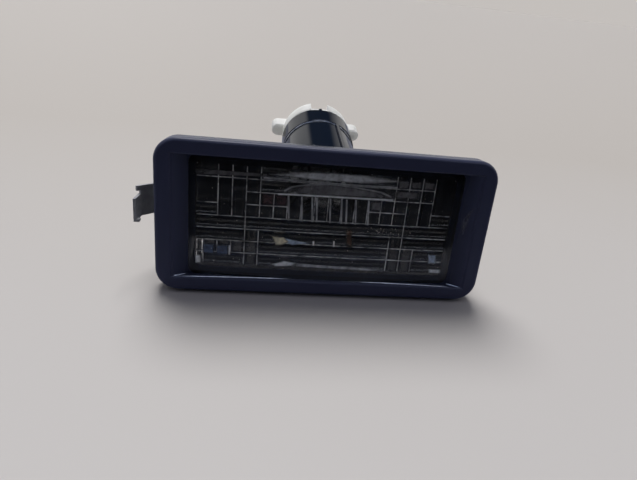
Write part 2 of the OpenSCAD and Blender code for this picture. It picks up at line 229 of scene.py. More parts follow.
class EffectLibrary:
    """Builds each shared effect as a shader node group the first time that a finish asks for it."""

    DRIFT: Span = (0.3, 0.7)
    EDGE: Span = (0.995, 0.86)
    EDGE_BREAKS: Span = (0.42, 0.66)
    SPECKS: Span = (0.55, 0.75)
    PATCHES: Span = (0.4, 0.65)
    PATCH_SCALE: float = 120.0
    FACING_UP: Span = (-0.3, 1.0)
    LYING: Span = (0.25, 1.0)
    STAINS: Span = (0.38, 0.68)
    STAIN_SCALE: float = 700.0

    def __init__(self) -> None:
        """Start with no groups."""
        self.groups: dict[Effect, Tree] = {}

    def group(self, effect: Effect) -> Tree:
        """Get an effect's group.

        Args:
            effect: The effect to get.

        Returns:
            The node group.
        """
        if effect not in self.groups:
            tree = bpy.data.node_groups.new(effect.value, "ShaderNodeTree")
            makers = {Effect.GRAIN: self._grain, Effect.WEAR: self._wear, Effect.DUST: self._dust,
                      Effect.STREAKS: self._streaks}
            makers[effect](tree)
            self.groups[effect] = tree
        return self.groups[effect]

    def place(self, graph: Graph, effect: Effect, **values: object) -> Node:
        """Put an effect in a material.

        Args:
            graph: The material's graph.
            effect: The effect to place.
            values: The group's inputs, with spaces written as underscores.

        Returns:
            The group node.
        """
        node = graph.add("Group", node_tree=self.group(effect))
        for key, value in values.items():
            node.inputs[key.replace("_", " ").capitalize()].default_value = value
        return node

    @staticmethod
    def _sockets(tree: Tree, inputs: dict[str, float], outputs: Sequence[str]) -> tuple[Node, Node]:
        """Give a group its named inputs and outputs.

        Args:
            tree: The group.
            inputs: Input names with their default values.
            outputs: Output names.

        Returns:
            The group's input node and output node.
        """
        for name, value in inputs.items():
            socket = tree.interface.new_socket(name, in_out="INPUT", socket_type="NodeSocketFloat")
            socket.default_value = value
        for name in outputs:
            tree.interface.new_socket(name, in_out="OUTPUT", socket_type="NodeSocketFloat")
        return tree.nodes.new("NodeGroupInput"), tree.nodes.new("NodeGroupOutput")

    def _grain(self, tree: Tree) -> None:
        """Build the fine grain of a moulded face, with a slow drift of gloss.

        Args:
            tree: The empty group.
        """
        start, end = self._sockets(tree, {"Scale": 4000.0, "Drift scale": 90.0}, ("Height", "Drift"))
        graph = Graph(tree)
        place = graph.object_place()
        fine = graph.noise(place, start.outputs["Scale"], detail=3.0, roughness=0.6)
        slow = graph.noise(place, start.outputs["Drift scale"], detail=5.0)
        graph.feed(end, {"Height": fine, "Drift": graph.spread(slow, self.DRIFT)})

    def _wear(self, tree: Tree) -> None:
        """Build the mask of rubbed edges, broken up by noise.

        Args:
            tree: The empty group.
        """
        start, end = self._sockets(tree, {"Radius": 0.0003, "Scale": 900.0}, ("Mask",))
        graph = Graph(tree)
        round_edge = graph.add("Bevel", {"Radius": start.outputs["Radius"]}, samples=4).outputs["Normal"]
        true_edge = graph.add("NewGeometry").outputs["Normal"]
        same = graph.add("VectorMath", {0: round_edge, 1: true_edge}, operation="DOT_PRODUCT")
        edge = graph.spread(same.outputs["Value"], self.EDGE)
        breaks = graph.noise(graph.object_place(), start.outputs["Scale"], detail=6.0, roughness=0.7)
        kept = graph.spread(breaks, self.EDGE_BREAKS)
        graph.feed(end, {"Mask": graph.math("MULTIPLY", edge, kept, clamp=True)})

    def _dust(self, tree: Tree) -> None:
        """Build the mask of specks that lie thicker on faces that look up.

        Args:
            tree: The empty group.
        """
        start, end = self._sockets(tree, {"Scale": 1500.0, "Cover": 0.3}, ("Mask",))
        graph = Graph(tree)
        place = graph.object_place()
        specks = graph.noise(place, start.outputs["Scale"], detail=8.0, roughness=0.75)
        patches = graph.noise(place, self.PATCH_SCALE, detail=3.0)
        up = graph.axis(graph.add("NewGeometry").outputs["Normal"], "Z")
        lying = graph.spread(up, self.FACING_UP, self.LYING)
        seen = graph.math("MULTIPLY", graph.spread(specks, self.SPECKS), graph.spread(patches, self.PATCHES))
        seen = graph.math("MULTIPLY", seen, lying)
        graph.feed(end, {"Mask": graph.math("MULTIPLY", seen, start.outputs["Cover"], clamp=True)})

    def _streaks(self, tree: Tree) -> None:
        """Build the fine lines that rolling or drawing leaves along a metal strip.

        Args:
            tree: The empty group.
        """
        start, end = self._sockets(tree, {"Across": 9000.0, "Along": 250.0}, ("Height", "Stain"))
        graph = Graph(tree)
        place = graph.object_place()
        along, across = start.outputs["Along"], start.outputs["Across"]
        size = graph.add("CombineXYZ", {0: along, 1: along, 2: across}).outputs[0]
        stretched = graph.add("VectorMath", {0: place, 1: size}, operation="MULTIPLY").outputs[0]
        lines = graph.noise(stretched, 1.0, detail=4.0, roughness=0.65)
        stain = graph.noise(place, self.STAIN_SCALE, detail=5.0, roughness=0.6)
        graph.feed(end, {"Height": lines, "Stain": graph.spread(stain, self.STAINS)})


EFFECTS = EffectLibrary()


def rgba(colour: Colour, alpha: float = 1.0) -> tuple[float, float, float, float]:
    """Add an alpha value to a colour.

    Args:
        colour: Red, green and blue.
        alpha: The alpha value.

    Returns:
        Red, green, blue and alpha.
    """
    return (*colour, alpha)


def new_material(name: str) -> tuple[Material, Graph, Node]:
    """Make an empty node material with a Principled shader.

    Args:
        name: The material's name.

    Returns:
        The material, its graph and its shader node.
    """
    material = bpy.data.materials.new(name)
    material.use_nodes = True
    shader = material.node_tree.nodes["Principled BSDF"]
    return material, Graph(material.node_tree), shader


def finish_mesh(mesh: Mesh, name: str, material: Material, shading: Shading = Shading.SMOOTH) -> Piece:
    """Turn a bmesh into an object with a material.

    Args:
        mesh: The mesh, which is freed.
        name: The object's name.
        material: Its material.
        shading: How its faces are shaded.

    Returns:
        The new object.
    """
    data = bpy.data.meshes.new(name)
    mesh.to_mesh(data)
    mesh.free()
    data.materials.append(material)
    for face in data.polygons:
        face.use_smooth = shading is not Shading.FLAT
    piece = bpy.data.objects.new(name, data)
    bpy.context.scene.collection.objects.link(piece)
    return piece


def stitch(mesh: Mesh, rows: Sequence[Sequence[Vert]]) -> None:
    """Join each row of vertices to the next with four-sided faces.

    Args:
        mesh: The mesh that holds the vertices.
        rows: Rows of one length.
    """
    for near, away in zip(rows, rows[1:]):
        for k in range(len(near) - 1):
            mesh.faces.new((near[k], near[k + 1], away[k + 1], away[k]))


@dataclass(frozen=True)
class MouldedPlastic:
    """A moulded plastic with grain, rubbed edges and a little dust, whose rear may be darker and glossier;
    the lighter front then paints light, and the darkening behind it paints shade.
    """

    name: str
    colour: Colour
    worn: Colour
    gloss: float
    dull: float
    specular: float = 0.5
    grain_scale: float = 4000.0
    grain_depth: float = 0.04
    bump_distance: float = 0.2 * MM
    wear_radius: float = 0.3 * MM
    dust: float = 0.2
    dust_dulling: float = 0.4
    glow: float = 0.0
    glow_depth: float = 3 * MM
    rear_from: float = 0.0
    rear_blend: float = 3.7 * MM
    rear_colour: Colour | None = None
    rear_gloss: float = 0.10

    def build(self) -> Material:
        """Build the material.

        Returns:
            The material.
        """
        material, graph, shader = new_material(self.name)
        grain = EFFECTS.place(graph, Effect.GRAIN, scale=self.grain_scale)
        wear = EFFECTS.place(graph, Effect.WEAR, radius=self.wear_radius)
        dust = EFFECTS.place(graph, Effect.DUST, cover=self.dust)
        shader.inputs["Specular IOR Level"].default_value = self.specular
        colour: object = rgba(self.colour)
        rough = graph.spread(grain.outputs["Drift"], target=(self.gloss, self.dull))
        # painted light and shade: darker from the front face back, so the lighter front paints the light it
        # shows and the recess walls darken towards the lens
        if self.rear_colour:
            depth = graph.axis(graph.object_place(), "Y")
            behind = graph.spread(depth, (self.rear_from, self.rear_from + self.rear_blend))
            colour = graph.mix(behind, colour, rgba(self.rear_colour))
            rough = graph.blend(behind, rough, self.rear_gloss)
        rubbed = graph.mix(wear.outputs["Mask"], colour, rgba(self.worn))
        dusty = graph.mix(dust.outputs["Mask"], rubbed, rgba(DUST_COLOUR))
        dulling = graph.math("MULTIPLY", dust.outputs["Mask"], self.dust_dulling)
        graph.feed(shader, {
            "Base Color": dusty,
            "Roughness": graph.math("ADD", rough, dulling, clamp=True),
            "Normal": graph.bump(grain.outputs["Height"], self.grain_depth, self.bump_distance)})
        if self.glow:
            shader.inputs["Subsurface Weight"].default_value = self.glow
            shader.inputs["Subsurface Scale"].default_value = self.glow_depth
            shader.inputs["Subsurface Radius"].default_value = (1.0, 1.0, 1.0)
        return material


@dataclass(frozen=True)
class StripMetal:
    """A rolled or drawn metal with fine lines along it and stains."""

    name: str
    colour: Colour
    stained: Colour
    gloss: float
    dull: float
    across: float = 9000.0
    along: float = 250.0
    metal: float = 1.0
    wear_radius: float = 0.1 * MM
    wear_brightening: float = 1.8
    line_depth: float = 0.15
    bump_distance: float = 0.05 * MM

    def build(self) -> Material:
        """Build the material.

        Returns:
            The material.
        """
        material, graph, shader = new_material(self.name)
        streaks = EFFECTS.place(graph, Effect.STREAKS, across=self.across, along=self.along)
        wear = EFFECTS.place(graph, Effect.WEAR, radius=self.wear_radius)
        stain = graph.mix(streaks.outputs["Stain"], rgba(self.colour), rgba(self.stained))
        bright = tuple(min(1.0, self.wear_brightening * c) for c in self.colour)
        graph.feed(shader, {
            "Base Color": graph.mix(wear.outputs["Mask"], stain, rgba(bright)),
            "Roughness": graph.spread(streaks.outputs["Stain"], target=(self.gloss, self.dull)),
            "Normal": graph.bump(streaks.outputs["Height"], self.line_depth, self.bump_distance)})
        shader.inputs["Metallic"].default_value = self.metal
        return material


@dataclass(frozen=True)
class ClearMoulding:
    """A clear plastic or glass, with faint haze and hairline scratches."""

    name: str
    tint: Colour
    ior: float
    haze: float
    scratch_depth: float = 0.02
    scratch_scale: float = 900.0
    haze_scale: float = 160.0
    hazed: float = 0.97
    bump_distance: float = 0.1 * MM

    def build(self) -> Material:
        """Build the material.

        Returns:
            The material.
        """
        material, graph, shader = new_material(self.name)
        grain = EFFECTS.place(graph, Effect.GRAIN, scale=self.scratch_scale, drift_scale=self.haze_scale)
        hazed = rgba(tuple(self.hazed * c for c in self.tint))
        graph.feed(shader, {
            "Base Color": graph.mix(grain.outputs["Drift"], rgba(self.tint), hazed),
            "Roughness": graph.spread(grain.outputs["Drift"], target=(0.5 * self.haze, self.haze)),
            "Normal": graph.bump(grain.outputs["Height"], self.scratch_depth, self.bump_distance)})
        shader.inputs["IOR"].default_value = self.ior
        shader.inputs["Transmission Weight"].default_value = 1.0
        return material


class Tone(Enum):
    """The tones of the painted reflections, painted highlights and scuffs, each a bright and a dim colour."""

    # painted highlight: the fine lines of light along the prism valleys
    VALLEY_LIGHT = ((1.0, 1.0, 1.0), (0.12, 0.12, 0.14))
    # painted highlights on the housing's edges and at the collar
    SHINE = ((0.62, 0.65, 0.74), (0.30, 0.32, 0.38))
    SCUFF = ((0.22, 0.23, 0.29), (0.07, 0.075, 0.10))
    # painted reflections in the lens, from bright to dark
    WHITE = ((1.0, 1.0, 1.0), (0.72, 0.75, 0.80))
    PALE = ((0.85, 0.87, 0.92), (0.50, 0.51, 0.55))
    GREY = ((0.62, 0.63, 0.66), (0.20, 0.20, 0.22))
    DIM = ((0.20, 0.195, 0.21), (0.05, 0.048, 0.055))
    GOLD = ((1.0, 0.95, 0.78), (0.75, 0.64, 0.40))
    BLUE = ((0.07, 0.115, 0.22), (0.03, 0.05, 0.10))
    ICE = ((0.72, 0.84, 1.0), (0.22, 0.30, 0.46))
    RED = ((0.055, 0.018, 0.026), (0.03, 0.01, 0.016))
    AMBER = ((0.10, 0.05, 0.03), (0.05, 0.026, 0.018))


@dataclass(frozen=True)
class GlintFinish:
    """A broken and partly clear pale film, as a reflection in a prism looks: it paints reflections and
    highlights, and also draws the scuffs.
    """

    tone: Tone
    scale: float = 1400.0
    drift_scale: float = 420.0
    clearest: float = 0.7
    soft: float = 0.45
    metal: float = 0.0
    roughness: float = 0.5
    breaks: Span = (0.35, 0.55)

    def build(self) -> Material:
        """Build the material.

        Returns:
            The material.
        """
        material, graph, shader = new_material(f"{self.tone.name.lower()}_film")
        grain = EFFECTS.place(graph, Effect.GRAIN, scale=self.scale, drift_scale=self.drift_scale)
        bright, dim = self.tone.value
        broken = graph.spread(grain.outputs["Height"], self.breaks, (self.clearest, 1.0))
        fade = graph.spread(graph.add("Attribute", attribute_name=FADE).outputs["Fac"], (0.0, self.soft))
        graph.feed(shader, {
            "Base Color": graph.mix(grain.outputs["Drift"], rgba(dim), rgba(bright)),
            "Alpha": graph.math("MULTIPLY", broken, fade)})
        shader.inputs["Metallic"].default_value = self.metal
        shader.inputs["Roughness"].default_value = self.roughness
        return material


@dataclass
class Lamp:
    """The lamp's CAD pieces, each with its finish."""

    # the lighter, bluer front paints the bluish light on the front face; the rear colour is the plastic's own
    # black, which darkens the recess walls towards the lens as painted shade
    housing: MouldedPlastic = MouldedPlastic("black_housing", (0.046, 0.053, 0.105), (0.055, 0.06, 0.10),
                                             0.34, 0.44, specular=0.20, grain_depth=0.03, dust=0.006,
                                             rear_from=-3.7 * MM, rear_colour=(0.005, 0.009, 0.018))
    lens: ClearMoulding = ClearMoulding("clear_lens", (0.96, 0.97, 0.98), 1.42, 0.02, scratch_depth=0.003)
    spring: StripMetal = StripMetal("spring_steel", (0.34, 0.345, 0.37), (0.25, 0.255, 0.28), 0.5, 0.65,
                                    metal=0.15)
    holder: MouldedPlastic = MouldedPlastic("natural_nylon", (0.80, 0.81, 0.79), (0.80, 0.79, 0.75),
                                            0.35, 0.5, grain_depth=0.05, dust=0.1, glow=1.0)
    seal: MouldedPlastic = MouldedPlastic("seal_rubber", (0.02, 0.02, 0.021), (0.06, 0.06, 0.06), 0.6, 0.8,
                                          dust=0.15)
    contact: StripMetal = StripMetal("contact_brass", (0.62, 0.46, 0.22), (0.4, 0.3, 0.16), 0.25, 0.4)
    glass: ClearMoulding = ClearMoulding("bulb_glass", (0.98, 0.99, 1.0), 1.5, 0.01, scratch_depth=0.0)
    wire: StripMetal = StripMetal("bulb_wire", (0.42, 0.4, 0.38), (0.3, 0.28, 0.26), 0.25, 0.4, across=4000.0)

    def dress(self) -> None:
        """Give every CAD node its finish."""
        finishes = (
            (self.housing, ("housing",)), (self.lens, ("lens",)), (self.spring, ("retaining_spring",)),
            (self.holder, ("holder",)), (self.seal, ("holder_seal",)),
            (self.contact, ("contact_left", "contact_right")), (self.glass, ("bulb_glass", "bulb_bead")),
            (self.wire, ("bulb_lead_left", "bulb_lead_right", "bulb_filament")))
        for finish, nodes in finishes:
            material = finish.build()
            for node in nodes:
                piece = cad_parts[node]
                piece.data.materials.clear()
                piece.data.materials.append(material)
                LOG.info("%s is finished as %s", node, finish.name)


@dataclass
class Filament:
    """The bulb's coiled filament, between the two lead-in wires."""

    turns: int = 11
    wire_r: float = 0.06 * MM
    steps: int = 16
    sides: int = 6
    finish: StripMetal = StripMetal("filament_wire", (0.3, 0.29, 0.28), (0.2, 0.19, 0.18), 0.3, 0.5)

    def build(self) -> Piece:
        """Wind the coil in the space of its CAD node.

        Returns:
            The coil.
        """
        low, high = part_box("bulb_filament")
        middle = (low + high) / 2
        length = high.x - low.x
        radius = (high.z - low.z) / 2 - self.wire_r
        along = Vector((1.0, 0.0, 0.0))
        mesh = bmesh.new()
        rings = []
        count = self.turns * self.steps
        for i in range(count + 1):
            angle = 2 * math.pi * i / self.steps
            outward = Vector((0.0, math.cos(angle), math.sin(angle)))
            centre = middle + length * (i / count - 0.5) * along + radius * outward
            ring = []
            for k in range(self.sides):
                turn = 2 * math.pi * k / self.sides
                offset = math.cos(turn) * outward + math.sin(turn) * along
                ring.append(mesh.verts.new(centre + self.wire_r * offset))
            rings.append(ring)
        stitch(mesh, [ring + ring[:1] for ring in rings])
        mesh.faces.new(rings[0][::-1])
        mesh.faces.new(rings[-1])
        bmesh.ops.recalc_face_normals(mesh, faces=mesh.faces)
        piece = finish_mesh(mesh, "filament_coil", self.finish.build())
        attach(piece, "root")
        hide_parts("bulb_filament")
        LOG.info("filament_coil has %d turns", self.turns)
        return piece


@dataclass
class PrismValleys:
    """A pale, partly clear skin on the flat valleys between the lens's prisms, which paints the fine lines of
    light that the valleys show.
    """

    half_w: float = 25.55 * MM
    half_h: float = 10.1 * MM
    plane: float = 0.2 * MM
    off: float = 0.03 * MM
    plane_error: float = 0.01 * MM
    # painted highlight: the pale lines of light along the prism valleys
    finish: GlintFinish = GlintFinish(Tone.VALLEY_LIGHT, drift_scale=260.0, clearest=0.35)

    def build(self) -> Piece:
        """Take the valley faces from the lens and set them just behind it.

        Returns:
            The skin.
        """
        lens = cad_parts["lens"]
        mesh = bmesh.new()
        mesh.from_mesh(lens.data)
        mesh.transform(lens.matrix_world)
        raised = [f for f in mesh.faces if any(abs(v.co.y - self.plane) > self.plane_error for v in f.verts)]
        bmesh.ops.delete(mesh, geom=raised, context="FACES")
        for axis, half in (((1, 0, 0), self.half_w), ((0, 0, 1), self.half_h)):
            for side in (-1, 1):
                outward = side * Vector(axis)
                every = mesh.verts[:] + mesh.edges[:] + mesh.faces[:]
                bmesh.ops.bisect_plane(mesh, geom=every, plane_co=outward * half, plane_no=outward,
                                       clear_outer=True)
        bmesh.ops.translate(mesh, verts=mesh.verts, vec=(0.0, self.off, 0.0))
        fade = mesh.verts.layers.float.new(FADE)
        for vert in mesh.verts:
            vert[fade] = 1.0
        piece = finish_mesh(mesh, "prism_valleys", self.finish.build(), Shading.FLAT)
        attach(piece, "root")
        LOG.info("prism_valleys has %d faces", len(piece.data.polygons))
        return piece


@dataclass(frozen=True)
class Glint:
    """A faint painted reflection in the lens, in millimetres: a patch of colour, or a streak where it has a
    width.
    """

    tone: Tone
    points: tuple[Span, ...]
    width: float = 0.0
    grow: float = 1.2

    def add_to(self, mesh: Mesh, depth: float) -> None:
        """Add its faces, which fade out towards their border.

        Args:
            mesh: The mesh of its tone, with a float layer named fade.
            depth: Its place along Y.
        """
        fade = mesh.verts.layers.float[FADE]

        def vert(x: float, z: float, strength: float) -> Vert:
            """Add a vertex at x and z, with its strength in the layer named fade."""
            new = mesh.verts.new((x * MM, depth, z * MM))
            new[fade] = strength
            return new

        if not self.width:
            count = len(self.points)
            mid_x, mid_z = (sum(p[k] for p in self.points) / count for k in (0, 1))
            middle = vert(mid_x, mid_z, 1.0)
            ring = [vert(mid_x + self.grow * (x - mid_x), mid_z + self.grow * (z - mid_z), 0.0)
                    for x, z in self.points]
            for first, second in zip(ring, ring[1:] + ring[:1]):
                mesh.faces.new((middle, first, second))
            return
        rows = []
        for i, (x, z) in enumerate(self.points):
            before, after = self.points[max(i - 1, 0)], self.points[min(i + 1, len(self.points) - 1)]
            along = Vector((after[0] - before[0], after[1] - before[1])).normalized() * self.width
            left, right = (x - along.y, z + along.x), (x + along.y, z - along.x)
            rows.append((vert(*left, 0.0), vert(x, z, 1.0), vert(*right, 0.0)))
        stitch(mesh, rows)


@dataclass
class LensGlints:
    """The reflections that the lens's prisms gather from the room, painted as small patches of colour inside
    the lens.
    """

    depth: float = -0.2 * MM
    layer: float = 0.007 * MM
    line: float = 0.22
    bar_top: float = 4.9
    bar_low: float = -0.2
    bar_lean: float = 0.2
    bars: Sequence[float] = (-7.8, -5.2, -3.1, -2.2, 0.5, 2.8, 3.8, 5.7, 8.3)
    peak_top: float = 7.0
    peak_foot: float = 5.7
    peak_left: float = 1.0
    peak_right: float = 1.1
    peaks: Sequence[float] = (-2.7, 0.1, 3.1)

    def glints(self) -> list[Glint]:
        """List the painted reflections.

        Returns:
            The reflections.
        """
        arch = ((-8.9, 5.8), (-7.4, 6.7), (-3.9, 7.4), (0.4, 7.7), (5.3, 7.4), (10.3, 6.8), (12.5, 6.0))
        found = [
            Glint(Tone.PALE, ((-10.7, 8.9), (-6.1, 9.7), (1.0, 10.0), (7.8, 9.9), (13.3, 9.2), (6.0, 8.4),
                              (-0.1, 8.4), (-6.0, 8.6))),
            Glint(Tone.WHITE, ((-7.0, 9.2), (0.5, 9.7), (8.2, 9.5), (4.0, 9.1), (-2.0, 9.0))),
            Glint(Tone.DIM, arch + ((12.0, 5.6), (-8.6, 5.4))),
            Glint(Tone.GREY, arch, self.line),
            Glint(Tone.WHITE, ((-10.1, 5.1), (-7.3, 5.2), (4.0, 5.3), (13.0, 5.4)), self.line),
            Glint(Tone.GREY, ((-13.0, 8.1), (-4.0, 8.0), (6.0, 7.9), (13.5, 8.0)), self.line),
            Glint(Tone.GOLD, ((-10.6, -3.7), (-8.3, -3.8), (-7.4, -4.6), (-8.6, -5.3), (-9.8, -5.4))),
            Glint(Tone.ICE, ((-8.3, -3.9), (-3.3, -4.7), (-6.5, -5.3), (-7.6, -4.9))),
            Glint(Tone.WHITE, ((-2.3, -4.2), (-2.2, -5.2)), self.line),
            Glint(Tone.WHITE, ((1.9, -4.0), (2.0, -5.2)), self.line),
            Glint(Tone.WHITE, ((-10.3, -9.7), (-7.9, -8.9), (-5.6, -9.2), (-6.2, -9.8), (-9.5, -10.1))),
            Glint(Tone.GREY, ((-6.2, -9.2), (12.6, -9.8), (12.7, -10.2), (-6.2, -9.9))),
            Glint(Tone.WHITE, ((-25.7, -8.6), (-24.7, -8.5), (-24.7, -10.1), (-25.7, -10.2))),
            Glint(Tone.BLUE, ((-24.5, -6.0), (-22.0, -6.1), (-22.0, -8.1), (-24.4, -8.1))),
            Glint(Tone.BLUE, ((-21.7, -6.1), (-19.3, -6.1), (-19.2, -8.2), (-21.7, -8.1))),
            Glint(Tone.WHITE, ((-19.0, -6.1), (-19.0, -8.1)), self.line),
            Glint(Tone.ICE, ((22.4, -6.0), (24.1, -6.0), (24.3, -7.9), (22.8, -7.9))),
            Glint(Tone.WHITE, ((23.1, -9.3), (25.7, -9.3), (25.7, -10.1), (23.3, -10.1))),
            Glint(Tone.DIM, ((-25.1, 9.0), (-11.9, 8.9), (-11.8, 8.3), (-25.1, 7.9))),
            Glint(Tone.RED, ((-13.1, 5.0), (-10.9, 5.0), (-10.7, 2.7), (-13.0, 2.8))),
            Glint(Tone.RED, ((-10.5, 4.9), (-8.2, 4.8), (-8.0, 2.8), (-10.3, 2.8))),
            Glint(Tone.AMBER, ((4.2, -1.3), (5.4, -1.3), (5.8, -5.2), (4.6, -5.1))),
            Glint(Tone.DIM, ((8.6, 4.8), (10.7, 4.8), (10.9, 3.0), (8.8, 3.0))),
            Glint(Tone.DIM, ((13.7, 9.4), (15.9, 9.5), (15.8, 7.9), (13.8, 7.8))),
            Glint(Tone.DIM, ((16.3, 9.3), (18.5, 9.4), (18.4, 8.1), (16.4, 7.9))),
            Glint(Tone.DIM, ((19.0, 9.5), (21.2, 9.3), (21.1, 8.0), (19.1, 8.1))),
            Glint(Tone.DIM, ((13.2, 7.2), (18.4, 7.3), (18.2, 5.9), (13.0, 5.9)))]
        for x in self.bars:
            ends = (x - self.bar_lean, self.bar_top), (x + self.bar_lean, self.bar_low)
            found.append(Glint(Tone.GREY, ends, self.line))
        for x in self.peaks:
            left, right = (x - self.peak_left, self.peak_foot), (x + self.peak_right, self.peak_foot)
            found.append(Glint(Tone.GREY, (left, (x, self.peak_top), right), self.line))
        return found

    def build(self) -> list[Piece]:
        """Build the painted reflections, one object for each tone.

        Returns:
            The objects.
        """
        meshes: dict[Tone, Mesh] = {}
        for i, glint in enumerate(self.glints()):
            if glint.tone not in meshes:
                meshes[glint.tone] = bmesh.new()
                meshes[glint.tone].verts.layers.float.new(FADE)
            glint.add_to(meshes[glint.tone], self.depth + self.layer * i)
        pieces = []
        for tone, mesh in meshes.items():
            # each object holds the painted reflections of one tone
            name = f"lens_glints_{tone.name.lower()}"
            piece = finish_mesh(mesh, name, GlintFinish(tone).build(), Shading.FLAT)
            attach(piece, "root")
            LOG.info("%s has %d faces", piece.name, len(piece.data.polygons))
            pieces.append(piece)
        return pieces


@dataclass(frozen=True)
class Streak:
    """A line of colour on the housing, in millimetres, with the way that it faces at each point: a painted
    highlight, or a scuff.
    """

    path: tuple[Point, ...]
    facings: tuple[Point, ...]
    width: float
    strength: float = 1.0

    def add_to(self, mesh: Mesh, lift: float) -> None:
        """Add its faces, which fade out towards their sides and ends.

        Args:
            mesh: The mesh, with a float layer named fade.
            lift: How far it lies above the housing.
        """
        fade = mesh.verts.layers.float[FADE]
        facings = [Vector(f).normalized() for f in self.facings]
        points = [Vector(p) * MM + facing * lift for p, facing in zip(self.path, facings)]
        rows = []
        for i, (point, facing) in enumerate(zip(points, facings)):
            along = points[min(i + 1, len(points) - 1)] - points[max(i - 1, 0)]
            across = along.cross(facing).normalized() * self.width * MM / 2
            row = [mesh.verts.new(point + k * across) for k in (-1, 0, 1)]
            row[1][fade] = 0.0 if i in (0, len(points) - 1) else self.strength
            rows.append(row)
        stitch(mesh, rows)


@dataclass
class RecessMarks:
    """The painted highlights at the recess's edges and corners and at the collar, and the right wall's
    scuffs.
    """

    half_w: float = 29.9
    half_h: float = 12.0
    front: float = -4.0
    bow: float = 0.9
    back: float = -2.0
    slope: float = 2.9
    chamfer: float = 0.25
    lift: float = 0.015 * MM
    edge_w: float = 0.3
    edge_steps: int = 14
    edge_inset: float = 0.3
    upper_from: float = 0.6
    corner_w: float = 0.45
    corner_steps: Sequence[float] = (0.08, 0.2, 0.6, 0.95)
    corner_facing: Point = (0.4, -0.58, 0.71)
    tube_tilt: float = 20.0
    rim_middle: Span = (30.02, 11.6)
    collar_l: float = 5.75
    slope_r: float = 8.68
    collar_w: float = 0.8
    collar_lean: float = 0.5
    collar_strength: float = 0.2
    collar_steps: int = 32
    scuffs: Sequence[tuple[Sequence[Span], float]] = (
        (((28.9, 5.6), (28.5, 3.6), (28.3, 1.6), (28.4, -0.4)), 1.1),
        (((28.2, 4.4), (28.0, 2.6), (28.1, 0.9), (28.5, -0.9)), 0.9))
    # a glossy metal film that paints the highlights
    shine: GlintFinish = GlintFinish(Tone.SHINE, clearest=0.5, metal=1.0, roughness=0.25)
    scuffed: GlintFinish = GlintFinish(Tone.SCUFF, scale=2600.0, clearest=0.15, soft=1.2)

    def _edge(self, side: int, start: float, end: float) -> Streak:
        """Draw a painted highlight along the chamfer of one of the recess's long edges.

        Args:
            side: 1 for the upper edge, -1 for the lower one.
            start: The x of the line's left end.
            end: The x of its right end.

        Returns:
            The line.
        """
        path = []
        for k in range(self.edge_steps + 1):
            x = start + (end - start) * k / self.edge_steps
            bow = self.bow * (1 - (x / self.half_w) ** 2) if side < 0 else 0.0
            y = self.front + self.chamfer / 2 + bow
            path.append((x, y, side * (self.half_h + max(0.0, self.chamfer - (y - self.front)))))
        return Streak(tuple(path), ((0, -1, -side),) * len(path), self.edge_w)

    def _corner(self, side: int) -> Streak:
        """Draw the painted highlight in a lower corner, along the foot of the sloping wall.

        Args:
            side: -1 for the left corner, 1 for the right one.

        Returns:
            The line.
        """
        reach = self.half_w - self.corner_w / 2
        depth = self.back - self.front
        path = tuple((side * (reach - self.slope * k), self.front + depth * k, -self.half_h)
                     for k in self.corner_steps)
        sideways, forwards, up = self.corner_facing
        return Streak(path, ((-side * sideways, forwards, up),) * len(path), self.corner_w)

    def _scuff(self, points: Sequence[Span], width: float) -> Streak:
        """Draw a scuff on the right wall.

        Args:
            points: The x and z of each point.
            width: The scuff's width.

        Returns:
            The scuff.
        """
        depth = self.back - self.front
        path = tuple((x, self.front + depth * (self.half_w - x) / self.slope, z) for x, z in points)
        return Streak(path, ((-depth, -self.slope, 0),) * len(path), width)

    def _collar_line(self) -> Streak:
        """Draw the painted highlight round the upper half of the slope under the tube's collar.

        Returns:
            The line.
        """
        tilt = math.radians(self.tube_tilt)
        out, up = Vector((0, math.cos(tilt), math.sin(tilt))), Vector((0, -math.sin(tilt), math.cos(tilt)))
        middle = Vector((0, *self.rim_middle)) - out * self.collar_l
        path, facings = [], []
        for k in range(self.collar_steps + 1):
            angle = math.pi * k / self.collar_steps
            radial = Vector((math.cos(angle), 0, 0)) + math.sin(angle) * up
            path.append(tuple(middle + radial * self.slope_r))
            facings.append(tuple(radial - self.collar_lean * out))
        return Streak(tuple(path), tuple(facings), self.collar_w, self.collar_strength)

    def build(self) -> list[Piece]:
        """Build the painted highlights and the scuffs.

        Returns:
            The two objects.
        """
        span = self.half_w - self.edge_inset
        lines = [self._edge(-1, -span, span), self._corner(-1), self._corner(1),
                 self._edge(1, self.upper_from * span, span), self._collar_line()]
        scuffs = [self._scuff(points, width) for points, width in self.scuffs]
        pieces = []
        marks = (("recess_highlights", self.shine, lines), ("recess_scuffs", self.scuffed, scuffs))
        for name, finish, streaks in marks:
            mesh = bmesh.new()
            mesh.verts.layers.float.new(FADE)
            for streak in streaks:
                streak.add_to(mesh, self.lift)
            piece = finish_mesh(mesh, name, finish.build(), Shading.FLAT)
            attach(piece, "root")
            LOG.info("%s has %d faces", name, len(piece.data.polygons))
            pieces.append(piece)
        return pieces


